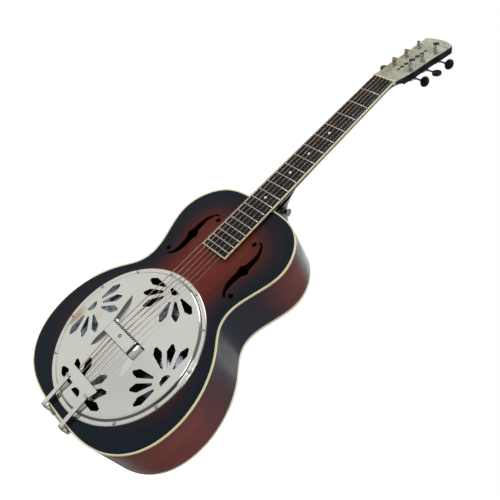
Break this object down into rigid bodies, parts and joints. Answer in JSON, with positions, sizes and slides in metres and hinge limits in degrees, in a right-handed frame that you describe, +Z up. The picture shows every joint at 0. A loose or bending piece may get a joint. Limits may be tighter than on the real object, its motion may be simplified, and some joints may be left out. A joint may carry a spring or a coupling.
{
  "type": "resonator guitar",
  "caption": "Six-string resonator guitar: waisted wooden body, spun cone under a pierced metal coverplate, hinged tailpiece and geared tuners; a plucked musical instrument.",
  "frame": {"origin": "on the centreline at the tail end of the ribs, at mid depth, where the tail strap button seats", "axes": "+Z up the neck towards the headstock, +X the treble side, -Y out of the soundboard, +Y towards the back"},
  "size_m": [0.3494, 0.121, 0.9563],
  "materials": {
    "burst_top": "satin sunburst, blue-black edge to red-brown middle",
    "burst_sides": "satin red-brown, dark at the waist and neck",
    "cream_binding": "aged cream",
    "inside_wood": "bare",
    "spun_aluminium": "spun",
    "maple": "bare",
    "plated_sheet": "polished nickel plate",
    "plated_small": "polished nickel plate",
    "neck_satin": "satin blue-black",
    "pearl_face": "pearloid",
    "dark_board": "oiled, near black",
    "fret_wire": "polished",
    "pearl_dot": "pearl",
    "nut_white": "polished bone white",
    "rod_steel": "plain",
    "wound_bronze": "bronze wound",
    "plain_steel": "bright",
    "ball_brass": "plain",
    "tuner_plate": "nickel plate",
    "tuner_metal": "nickel plate",
    "gear_brass": "cut brass",
    "button_black": "moulded black"
  },
  "bodies": {
    "body": {"top_plate": "burst_top", "side_ribs": "burst_sides", "back_plate": "burst_sides", "top_binding": "cream_binding", "back_binding": "cream_binding", "fingerboard_binding": "cream_binding", "linings": "inside_wood", "neck_block": "inside_wood", "tail_block": "inside_wood", "braces": "inside_wood", "soundwell": "inside_wood", "resonator_cone": "spun_aluminium", "biscuit": "maple", "saddle": "maple", "coverplate": "plated_sheet", "hand_rest": "plated_sheet", "tailpiece_bracket": "plated_sheet", "tailpiece_hinge_pin": "plated_small", "coverplate_screws": "plated_small", "body_wood_screws": "plated_small", "strap_buttons": "plated_small", "tuner_screws": "plated_small", "biscuit_screw": "plated_small", "neck": "neck_satin", "headstock_veneer": "pearl_face", "fingerboard": "dark_board", "frets": "fret_wire", "fret_dots": "pearl_dot", "nut": "nut_white", "truss_rod": "rod_steel", "wound_strings": "wound_bronze", "plain_strings": "plain_steel", "tuner_baseplates": "tuner_plate", "tuner_bushings": "tuner_plate"},
    "tailpiece": {"tailpiece_frame": "plated_sheet", "string_ball_ends": "ball_brass"},
    "key_1": {"worm_shaft_1": "tuner_metal", "tuner_button_1": "button_black"},
    "post_1": {"string_post_1": "tuner_metal", "worm_wheel_1": "gear_brass"},
    "key_2": {"worm_shaft_2": "tuner_metal", "tuner_button_2": "button_black"},
    "post_2": {"string_post_2": "tuner_metal", "worm_wheel_2": "gear_brass"},
    "key_3": {"worm_shaft_3": "tuner_metal", "tuner_button_3": "button_black"},
    "post_3": {"string_post_3": "tuner_metal", "worm_wheel_3": "gear_brass"},
    "key_4": {"worm_shaft_4": "tuner_metal", "tuner_button_4": "button_black"},
    "post_4": {"string_post_4": "tuner_metal", "worm_wheel_4": "gear_brass"},
    "key_5": {"worm_shaft_5": "tuner_metal", "tuner_button_5": "button_black"},
    "post_5": {"string_post_5": "tuner_metal", "worm_wheel_5": "gear_brass"},
    "key_6": {"worm_shaft_6": "tuner_metal", "tuner_button_6": "button_black"},
    "post_6": {"string_post_6": "tuner_metal", "worm_wheel_6": "gear_brass"}
  },
  "joints": [
    {"name": "tailpiece_hinge", "type": "hinge", "parent": "body", "child": "tailpiece", "pos_m": [0, -0.03725, -0.005], "axis": [1, 0, 0], "range_deg": [0, 12], "stiffness_Nm_per_rad": 8, "deforming": ["wound_strings", "plain_strings"]},
    {"name": "key_turn_1", "type": "hinge", "parent": "body", "child": "key_1", "pos_m": [0.0182, -0.02338, 0.83426], "axis": [1, 0, 0], "continuous": true},
    {"name": "post_turn_1", "type": "hinge", "parent": "body", "child": "post_1", "pos_m": [0.0182, -0.03867, 0.8306], "axis": [0, -0.972, 0.2351], "continuous": true},
    {"name": "key_turn_2", "type": "hinge", "parent": "body", "child": "key_2", "pos_m": [0.0182, -0.01527, 0.86779], "axis": [1, 0, 0], "continuous": true},
    {"name": "post_turn_2", "type": "hinge", "parent": "body", "child": "post_2", "pos_m": [0.0182, -0.03056, 0.86413], "axis": [0, -0.972, 0.2351], "continuous": true},
    {"name": "key_turn_3", "type": "hinge", "parent": "body", "child": "key_3", "pos_m": [0.0182, -0.00678, 0.90288], "axis": [1, 0, 0], "continuous": true},
    {"name": "post_turn_3", "type": "hinge", "parent": "body", "child": "post_3", "pos_m": [0.0182, -0.02207, 0.89922], "axis": [0, -0.972, 0.2351], "continuous": true},
    {"name": "key_turn_4", "type": "hinge", "parent": "body", "child": "key_4", "pos_m": [-0.0182, -0.00678, 0.90288], "axis": [-1, 0, 0], "continuous": true},
    {"name": "post_turn_4", "type": "hinge", "parent": "body", "child": "post_4", "pos_m": [-0.0182, -0.02207, 0.89922], "axis": [0, -0.972, 0.2351], "continuous": true},
    {"name": "key_turn_5", "type": "hinge", "parent": "body", "child": "key_5", "pos_m": [-0.0182, -0.01527, 0.86779], "axis": [-1, 0, 0], "continuous": true},
    {"name": "post_turn_5", "type": "hinge", "parent": "body", "child": "post_5", "pos_m": [-0.0182, -0.03056, 0.86413], "axis": [0, -0.972, 0.2351], "continuous": true},
    {"name": "key_turn_6", "type": "hinge", "parent": "body", "child": "key_6", "pos_m": [-0.0182, -0.02338, 0.83426], "axis": [-1, 0, 0], "continuous": true},
    {"name": "post_turn_6", "type": "hinge", "parent": "body", "child": "post_6", "pos_m": [-0.0182, -0.03867, 0.8306], "axis": [0, -0.972, 0.2351], "continuous": true}
  ],
  "couplings": [
    {"joint": "post_turn_1", "follows": "key_turn_1", "ratio": 0.071429},
    {"joint": "post_turn_2", "follows": "key_turn_2", "ratio": 0.071429},
    {"joint": "post_turn_3", "follows": "key_turn_3", "ratio": 0.071429},
    {"joint": "post_turn_4", "follows": "key_turn_4", "ratio": 0.071429},
    {"joint": "post_turn_5", "follows": "key_turn_5", "ratio": 0.071429},
    {"joint": "post_turn_6", "follows": "key_turn_6", "ratio": 0.071429}
  ]
}
